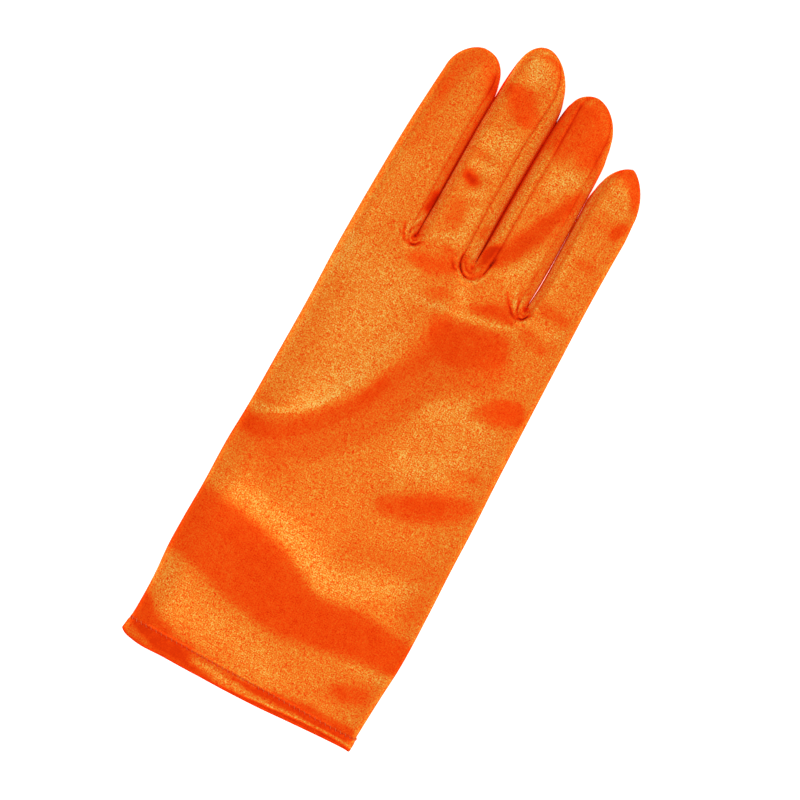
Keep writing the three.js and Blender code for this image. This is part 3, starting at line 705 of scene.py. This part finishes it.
def sheetHeights(x, y, back, palm):
    # z of both sheets: edge + (top - edge) * share, with the thumb's rise and the folds in top, and
    # edge + (bottom - edge) * share
    beyond = beyondThumb(x, y)
    over = 1 - ramp(thumb["ease"], thumb["ease"] + thumb["skirt"], beyond)
    bottom = (thumb["height"] + thumb["gap"]) * over
    top = hand["height"] + thumb["backRise"] * (1 - ramp(0, thumb["backSkirt"], beyond))
    top = top + sample(heightMap, x, y) + hand["pleatHeight"] * sample(pleatMap, x, y)
    lifted = hand["edgeLift"] * ramp(*hand["edgeLiftFrom"], y)
    edge = mix(bottom, hand["height"], hand["edgeShare"] + lifted)
    return mix(edge, top, back), mix(edge, bottom, palm)


shade = {"level": 0.5, "contrast": 0.4, "limits": (-0.1, 1.0)}


def paintedShadingAt(x, y, share):
    # shade: level + contrast * (lift + pleat) * share
    folded = (sample(liftMap, x, y) + sample(pleatMap, x, y)) * share
    return np.clip(shade["level"] + shade["contrast"] * folded, *shade["limits"])


def seamReaches(n):
    # half-widths of the U at a crotch, to its left and right
    return (fingers[n]["seams"][1] * fingerWidths[n], fingers[n + 1]["seams"][0] * fingerWidths[n + 1])


def crotchSeam(n, x, y):
    # distance outside the U of a strip, and the ratio of its radius: r = (u/half, v/depth)
    crotch = crotches[n]
    u, v = x - crotch["x"], np.minimum(y - crotch["y"], 0)
    left, right = seamReaches(n)
    r = np.hypot(u / np.where(u < 0, left, right), v / crotch["depth"])
    return (r - 1) * np.hypot(u, v) / np.maximum(r, 1e-6), r, np.arctan2(-v, u)


def seamRelief(d, angle, below, shown):
    # height added near a strip's seam: a groove exp(-(d/reach)^2), a welt beside it with puckers
    # round the U, and inside the seam the turned-in allowance
    outside = -seam["depth"] * bump(d, 0, seam["reach"])
    fading = np.exp(-np.maximum(d, 0) / seam["puckerReach"])
    pucker = seam["pucker"] * np.cos(seam["puckers"] * angle) * fading
    welt = (seam["welt"] + pucker * 2) * bump(d, seam["weltAt"], seam["weltReach"]) + pucker
    outside = (outside + welt * below) * shown
    inside = -seam["depth"] - seam["palmShare"] * np.minimum(-d, seam["turnedIn"])
    return np.where(d < 0, inside, outside)


def stations(k, face):
    # places across a panel, closer together in the strips and at the seams
    leftSeam, rightSeam = fingers[k]["seams"]
    strip = steps(grid["stripColumns"][face])
    even = steps(grid["middleColumns"][face])
    middle = mix(even, 0.5 - 0.5 * np.cos(np.pi * even), 0.6)
    return np.concatenate([strip * leftSeam, mix(leftSeam, 1 - rightSeam, middle[1:]),
                           1 - rightSeam * (1 - strip[1:])])


def panel(k, face):
    # one finger's share of one sheet of the hand, with the finger itself
    s = stations(k, face)[:, None]
    across = mix(lineX[k], lineX[k + 1], s)
    top = mix(lineY[k], lineY[k + 1], s) + sag(s)
    t = np.append(steps(grid["coarseRows"], grid["fineFrom"]),
                  np.linspace(grid["fineFrom"], 1, grid["fineRows"] + 1)[1:])
    y = mix(stitchLine, top, t[None, :])
    x = across * reachAt(across, y)
    distance = np.full(x.shape, 99.0)
    angle = np.zeros(x.shape)
    for n, crotch in enumerate(crotches):
        d, r, turn = crotchSeam(n, x, y)
        # points next to the U move onto it
        onto = (np.abs(d) < seam["allowance"]) & (y < crotch["y"] - 0.2)
        x = np.where(onto, crotch["x"] + (x - crotch["x"]) / r, x)
        y = np.where(onto, crotch["y"] + (y - crotch["y"]) / r, y)
        d = np.where(onto, 0.0, d)
        angle = np.where(d < distance, turn, angle)
        distance = np.minimum(d, distance)
    back, palm = handShares(x, y)
    fx, fy, fBack, fPalm = fingerSheet(k, s)
    span = fingerSpan(k)[None, :]
    fDistance, shown = np.full(fx.shape, 99.0), np.ones(fx.shape)
    for n, side, inward in ((k - 1, 1, s), (k, 0, 1 - s)):
        if 0 <= n < len(crotches):
            fDistance = np.minimum(fDistance, (inward - seamShares(k)[1 - side][None, :]) * span)
            shown = np.where(inward <= 0.5, crotches[n]["shows"][side], shown)
    x, y, back, palm, distance, angle = [
        np.concatenate([a, b[:, 1:]], axis=1) for a, b in
        ((x, fx), (y, fy), (back, fBack), (palm, fPalm), (distance, fDistance), (angle, 0 * fx))]
    below = np.append(np.ones(len(t)), np.zeros(fx.shape[1] - 1))[None, :]
    nearLine = ramp(-3, 0, y[:, :len(t)] - lineY[k])
    shown = np.concatenate([mix(shown[:, :1], 1.0, 1 - nearLine), shown[:, 1:]], axis=1)
    backZ, palmZ = sheetHeights(x, y, back, palm)
    relief = seamRelief(distance, angle, below, shown)
    if k == len(fingers) - 1:
        x = x - hand["sideSeam"] * (s == 1.0)
    if face > 0:
        z = backZ + relief * ramp(0, seam["flat"], back)
        # painted shade in the seam, and a painted highlight on the welt below each U
        plain, more = seam["dark"]
        rise = paintedShadingAt(x, y, 1.0) - (plain + more * below) * shown * bump(distance, 0, seam["darkReach"])
        rise = rise + seam["light"] * below * bump(distance, seam["lightAt"], seam["lightReach"])
    else:
        sunk = np.where(distance < 0, relief, relief.clip(-1, 0)) * ramp(0, seam["flat"], palm)
        z = palmZ - sunk * seam["palmShare"]
        rise = paintedShadingAt(x, y, 1 - ramp(0, 0.7, palm))
    keep = np.maximum.reduce(corners(distance)) > -seam["allowance"]
    return sheetPatch(x, y, z, rise, keep, face > 0)


def addMesh(name, points, faces, materials):
    mesh = bpy.data.meshes.new(name)
    mesh.from_pydata(toRow(points).tolist(), [], faces)
    mesh.shade_smooth()
    for material in materials:
        mesh.materials.append(material)
    print("made", name, len(points), "points")
    return addObject(name, mesh)


def facetted(name, patches, materials):
    # one mesh of patches (points, rise, quads), with shared points merged
    points, rise = [np.concatenate([patch[n] for patch in patches]) for n in (0, 1)]
    starts = np.cumsum([0] + [len(patch[0]) for patch in patches])
    quads = np.concatenate([patch[2] + start for patch, start in zip(patches, starts)])
    used = np.unique(quads)
    _, first, back = np.unique(np.round(points[used], 3), axis=0, return_index=True, return_inverse=True)
    lookup = np.zeros(len(points), int)
    lookup[used] = back.ravel()
    points, rise, quads = points[used][first], rise[used][first], lookup[quads]
    repeats = quads == np.roll(quads, -1, axis=1)
    squares, once = quads[~repeats.any(axis=1)], repeats.sum(axis=1) == 1
    triangles = quads[once][~repeats[once]].reshape(-1, 3)
    made = addMesh(name, points, squares.tolist() + triangles.tolist(), materials)
    # rise: the painted shade and painted highlight of each point, for the satin's shades
    layer = made.data.attributes.new("rise", "FLOAT", "POINT")
    layer.data.foreach_set("value", rise.astype(np.float32))
    return made


def dress(made, node, replaces=True):
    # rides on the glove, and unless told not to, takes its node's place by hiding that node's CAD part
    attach(made, "root")
    if replaces:
        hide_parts(node)


def makeCloth(name, node, patches, materials, thickness=0):
    # a piece of the glove, with the wrong side of the cloth if it has a thickness
    made = facetted(name, patches, materials)
    dress(made, node)
    if thickness:
        wall = made.modifiers.new("clothThickness", "SOLIDIFY")
        wall.thickness = thickness / 1000
        wall.material_offset = 1


def corners(a):
    return [a[:-1, :-1], a[1:, :-1], a[1:, 1:], a[:-1, 1:]]


def sheetPatch(x, y, z, rise, keep=None, outward=True):
    # quads of a columns by rows grid, those that keep marks
    points = np.stack([x, y, z], axis=-1).reshape(-1, 3)
    index = np.arange(z.size).reshape(z.shape)
    keep = slice(None) if keep is None else keep.ravel()
    quads = np.stack([corner.ravel()[keep] for corner in corners(index)], axis=-1)
    return points, np.broadcast_to(rise, z.shape).ravel(), quads if outward else quads[:, ::-1]


panels = [panel(k, face) for k in range(len(fingers)) for face in (1, -1)]
makeCloth("gloveBody", "glove_body", panels, [satin, wrongSide], hand["cloth"])

strip = {
    "columns": 9, "fanRows": 40, "cloth": 0.45,
    # painted shade and highlight: seamShade along the seam, pleatShade across the pleats, fanShade deep in
    # each U
    "seamShade": 0.14, "seamShadeReach": 0.5, "pleatShade": 0.15, "fanShade": 0.34,
    "meet": (0.5, 0.52, 0.43),  # share of each gap that either strip fills low down
    "widestGap": 1.8,
    "parting": (0.72, 0.9),  # share of the finger's rows over which that ends
    "inSlit": (1.0, 1.15, 1.6, 1.9),  # q where the shade of the slit sets in and ends
}


def stripColumns():
    # q is 0 at the seam on the back, 1 at the finger's edge and 2 at the seam in the palm, and
    # inner is 1 - |1 - q|
    even = np.linspace(-1, 1, 2 * strip["columns"] + 1)[:, None]
    q = 1 + np.sign(even) * np.abs(even) ** 1.5
    return q, 1 - np.abs(1 - q)


def stripHeights(x, y, back, palm, fromSeam, shown):
    # z of both sheets, with a groove along the strip's seam
    backZ, palmZ = sheetHeights(x, y, back, palm)
    groove = seam["depth"] * bump(fromSeam, 0, seam["reach"])
    return (backZ - groove * shown * ramp(0, seam["flat"], back),
            palmZ + seam["palmShare"] * groove * ramp(0, seam["flat"], palm))


def stripRise(x, y, q, fromSeam, shown, added):
    # painted shade along the seam on the back, and plain in the palm
    rise = paintedShadingAt(x, y, 1.0) - strip["seamShade"] * shown * bump(fromSeam, 0, strip["seamShadeReach"])
    return np.where(q <= 1, rise + added, paintedShadingAt(x, y, 0.0))


def stripSide(k, right):
    # the part of a strip along one finger: rows from the crotch up by the columns of q
    n, side = (k, 0) if right else (k - 1, 1)
    share = seamShares(k)[1 - side][None, :]
    q, inner = stripColumns()
    s = share * (1 - inner)
    s = 1 - s if right else s
    x, y, back, palm = fingerSheet(k, s)
    width = share * fingerSpan(k)[None, :]
    shown = crotches[n]["shows"][side]
    z = np.where(q <= 1, *stripHeights(x, y, back, palm, inner * width, shown))
    # glow: painted brightening towards the finger's edge, a darkening where it is below 0
    rise = stripRise(x, y, q, inner * width, shown, crotches[n]["glow"][side] * inner)
    # low down the strip leans over the slit, towards the middle of the gap
    gap = (fingerEdges(n + 1)[0][0] - fingerEdges(n)[1][0]).clip(0, strip["widestGap"])[None, :]
    inward = np.maximum(q - 1, 0) * width
    fading = 1 - ramp(*strip["parting"], np.arange(x.shape[1]) / x.shape[1])[None, :]
    leaning = ramp(0, 0.5, inward) * (1 - ramp(1.0, 3.0, inward)) * fading
    x = x + (1 if right else -1) * leaning * (strip["meet"][n] * gap + np.minimum(inward, 1.0))
    # painted shade on the cloth deep in the slit
    start, full, falling, end = strip["inSlit"]
    rise = rise - crotches[n]["slit"] * ramp(start, full, q) * (1 - ramp(falling, end, q)) * (gap > 0)
    return x, y, z, rise


def stripFan(n):
    # the U of a strip below its crotch: rays (half cos, depth sin) * (1 - inner) from the seam to
    # the end of the slit and out again in the palm, with pleats round the slit
    crotch = crotches[n]
    left, right = seamReaches(n)
    turn = np.linspace(np.pi, 2 * np.pi, strip["fanRows"] + 1)[None, :]
    q, inner = stripColumns()
    outX = np.where(np.cos(turn) < 0, left, right) * np.cos(turn)
    outY = crotch["depth"] * np.sin(turn)
    x = crotch["x"] + (1 - inner) * outX
    hang = -np.sin(turn)
    # the first and last rays lie on the line of the crotches
    line = lineAbove(x, np.full(x.shape, crotch["y"])) - crotch["y"]
    y = crotch["y"] + (1 - inner) * outY + line * (1 - hang)
    back, palm = handShares(x, y)
    fromSeam = inner * np.hypot(outX, outY)
    backZ, palmZ = stripHeights(x, y, back, palm, fromSeam, 1.0)
    pleat = np.sin(2 * np.pi * seam["pleats"] * inner) * hang * (inner > 0) * (inner < 1)
    z = np.where(q <= 1, backZ + seam["pleat"] * pleat * inner, palmZ)
    # painted shade and highlight across the pleats, and painted shade deeper in the U
    shaded = strip["pleatShade"] * pleat - strip["fanShade"] * hang * ramp(0, 0.3, inner)
    return x, y, z, stripRise(x, y, q, fromSeam, 1.0, shaded)


def makeStrips():
    for n in range(len(crotches)):
        sides = (stripSide(n, True), True), (stripSide(n + 1, False), False), (stripFan(n), False)
        patches = [sheetPatch(x, y, z, np.clip(rise, lowest, 1), outward=outward)
                   for (x, y, z, rise), outward in sides]
        first, second = fingers[n]["name"], fingers[n + 1]["name"]
        makeCloth("fourchette" + first.title() + second.title(), "fourchette_%s_%s" % (first, second),
                  patches, [stripSatin, wrongSide], strip["cloth"])


makeStrips()

# Hem, turned in once and caught with a zigzag row: (x, y) of the fold on the palm side, and how
# much higher the back's fold stands
hem = {
    "edge": [(-43, 2.5), (-41, 1.4), (-37, 0.45), (-25, 0.1), (-10, -0.2), (0, -0.1), (10, 0.25),
             (20, 0.9), (30, 1.5), (43, 2.1)],
    "lip": [(-43, 0.0), (-30, 0.35), (-10, 0.9), (5, 1.9), (25, 2.4), (38, 1.7), (43, 0.6)],
    "edgeAt": 3.0,  # y at which the glove's sides give the fold's x
    "fold": 1.1,  # thickness of the doubled cloth
    "proud": 0.18,
    "columns": 130,  # across each side
    "outerRows": 12, "foldRows": 8, "innerRows": 8,
    "pitch": 1.9,  # of the zigzag
    "pucker": 0.12, "puckerReach": 1.2,
    "groove": 0.2, "grooveReach": 0.5,
    "contrast": (1.25, -0.15),  # of its shade with the hand's
    # inside: painted shade on the hem's inner face; stitchShade: painted shade along the stitch row
    "palmShare": 0.25, "inside": 0.04, "stitchShade": 0.12, "stitchReach": 0.35,
    # crest: a painted highlight along the back's fold; turning: painted shade above the fold
    "crest": 0.6, "crestAt": 0.75, "crestReach": 0.4, "crestFrom": (-12, 10),
    "turning": (1.5, 0.3),  # above the fold, where the cloth turns away
}


def hemRing():
    # places round the mouth: share of the half-width, and 1 on the back or -1 on the palm
    turn = steps(hem["columns"], np.pi)
    across = -np.sign(np.cos(turn)) * np.abs(np.cos(turn)) ** 0.8
    return (np.append(across[:-1], across[::-1][:-1])[:, None],
            np.repeat([1.0, -1.0], hem["columns"])[:, None])


def hemSurface(across, face, y):
    # the glove's outer surface at the mouth, and its inward normal from the ring's tangent
    x = across * reachAt(across, y)
    z = np.where(face > 0, *sheetHeights(x, y, *handShares(x, y)))
    dx, dz = [np.roll(a, -1, axis=0) - np.roll(a, 1, axis=0) for a in (x, z)]
    length = np.maximum(np.hypot(dx, dz), 1e-6)
    return x, z, dz / length, -dx / length


def makeHem():
    across, face = hemRing()
    edgeX = across * reachAt(across, hem["edgeAt"])
    fold = curve(hem["edge"], edgeX) + np.where(face > 0, curve(hem["lip"], edgeX), 0.0)
    half = hem["fold"] / 2
    turn = steps(hem["foldRows"], np.pi)[1:]
    # profile: down the outside, round the fold and up the inside, as (y, depth)
    down = mix(stitchLine, fold + half, steps(hem["outerRows"]))
    up = mix(fold + half, stitchLine + 0.5, steps(hem["innerRows"])[1:])
    y = np.concatenate([down, fold + half - half * np.sin(turn), up], axis=1)
    depth = np.concatenate([np.zeros(hem["outerRows"] + 1), half - half * np.cos(turn),
                            np.full(hem["innerRows"], hem["fold"])])[None, :]
    x, z, inX, inZ = hemSurface(across, face, y)
    along = np.cumsum(np.abs(np.diff(edgeX, axis=0, prepend=edgeX[:1])), axis=0)
    near = bump(y, stitchLine, hem["puckerReach"])
    scallop = hem["pucker"] * np.cos(2 * np.pi * along / hem["pitch"]) * near
    groove = hem["groove"] * bump(y, stitchLine, hem["grooveReach"])
    outer = np.where(depth < half, hem["proud"] * (1 - near) - groove + scallop, 0)
    x = x + inX * (depth - outer)
    z = np.maximum(z + inZ * (depth - outer), 0.02)
    gain, offset = hem["contrast"]
    rise = gain * paintedShadingAt(x, y, np.where(face > 0, 1.0, hem["palmShare"])) + offset
    # a painted highlight where the crest catches the light on the right, and painted shade where the
    # cloth below it turns away
    crest = bump(y, fold + hem["crestAt"], hem["crestReach"]) * (face > 0) * ramp(*hem["crestFrom"], edgeX)
    high, low = hem["turning"]
    turning = ramp(fold + high, fold + low, y) * (face > 0)
    rise = np.where(depth < half, mix(rise, 0.0, turning) + hem["crest"] * crest, hem["inside"])
    # painted shade along the stitch row, lighter and darker with its puckers
    stitched = bump(y, stitchLine, hem["stitchReach"]) - scallop / hem["pucker"]
    rise = np.clip(rise - hem["stitchShade"] * stitched, 0, 1)
    # the last row and column are the first ones again
    closed = [np.pad(a, ((0, 1), (0, 1)), mode="wrap") for a in (x, y, z, rise)]
    makeCloth("cuffHem", "cuff_hem", [sheetPatch(*closed, outward=False)], [satin])


makeHem()

zigzag = {"thread": 0.24, "rise": 0.16, "sunk": 0.12, "reach": 0.6, "bends": 4, "corners": 5}


def makeZigzag():
    # each stitch is a bar that dips into the cloth at both ends, rising as (4t(1 - t))^(1/2)
    across, face = hemRing()
    x, z, inX, inZ = hemSurface(across, face, np.full(across.shape, stitchLine))
    along = np.append(0, np.cumsum(np.hypot(np.diff(x[:, 0]), np.diff(z[:, 0]))))
    count = int(along[-1] / (hem["pitch"] / 2))
    turns = np.arange(count + 1)
    ends = (turns + 0.5) * hem["pitch"] / 2
    upper = np.where(turns % 2, -1.0, 1.0) * zigzag["reach"]
    t = steps(zigzag["bends"])[None, :]
    place = mix(ends[:-1, None], ends[1:, None], mix(t, 0.5, 0.1))
    y = stitchLine + mix(upper[:-1, None], upper[1:, None], t)[..., None]
    px, pz, nx, nz = [np.interp(place, along, a[:, 0])[..., None] for a in (x, z, inX, inZ)]
    arch = np.sqrt(4 * t * (1 - t))[..., None]
    radius = zigzag["thread"] / 2 * mix(0.5, 1.0, arch)
    spin = steps(zigzag["corners"], 2 * np.pi)[:-1]
    side = np.cos(spin) * radius * 0.7
    out = np.sin(spin) * radius + (zigzag["rise"] * arch - zigzag["sunk"])
    points = np.stack([px - nx * out + side, y + side, np.maximum(pz - nz * out, 0.0)], axis=-1)
    index = np.arange(points[..., 0].size).reshape(points.shape[:3])
    turned = np.roll(index, -1, axis=2)
    quads = np.stack([turned[:, :-1], turned[:, 1:], index[:, 1:], index[:, :-1]], axis=-1)
    caps = np.concatenate([index[:, 0, ::-1], index[:, -1]])
    faces = quads.reshape(-1, 4).tolist() + caps.tolist()
    dress(addMesh("hemZigzag", points.reshape(-1, 3), faces, [thread]), "cuff_hem", replaces=False)


makeZigzag()


def makeThumb():
    # two sheets that meet at the thumb's edge: half-width = taper times an ellipse at either end,
    # and height = cushion of the way in
    t = 0.5 - 0.5 * np.cos(steps(thumb["rows"], np.pi))[None, :]
    s = -np.cos(steps(thumb["columns"], np.pi))[:, None]
    along = t * thumb["length"]
    half = mix(thumb["width"], thumb["tipWidth"], t) / 2
    heelRound = thumb["width"] / 2
    for past in ((heelRound - along) / heelRound,
                 (along - thumb["length"] + thumb["tipRound"]) / thumb["tipRound"]):
        half = half * np.sqrt(np.maximum(1 - np.clip(past, 0, 1) ** 2, 0))
    across = s * half
    x = thumb["heel"][0] + along * thumbLine[0] + across * thumbLine[1]
    y = thumb["heel"][1] + along * thumbLine[1] - across * thumbLine[0]
    ends = np.minimum(along, thumb["length"] - along)
    share = cushion(np.minimum(half - np.abs(across), ends) / thumb["edgeRound"])
    ripple = 0.12 * np.sin(along / 5.5 + across / 3.0) + 0.08 * np.sin(along / 2.9 - across / 4.2)
    middle = thumb["height"] / 2
    patches = []
    for face in (1, -1):
        z = middle + face * (middle - thumb["slack"]) * share + ripple * share * (face < 0)
        # the rise is painted shade and highlight that follows the ripple
        patches.append(sheetPatch(x, y, np.clip(z, 0.03, thumb["height"]), 0.45 + 0.6 * ripple * share,
                                  outward=face > 0))
    makeCloth("gloveThumb", "thumb", patches, [satin])


makeThumb()
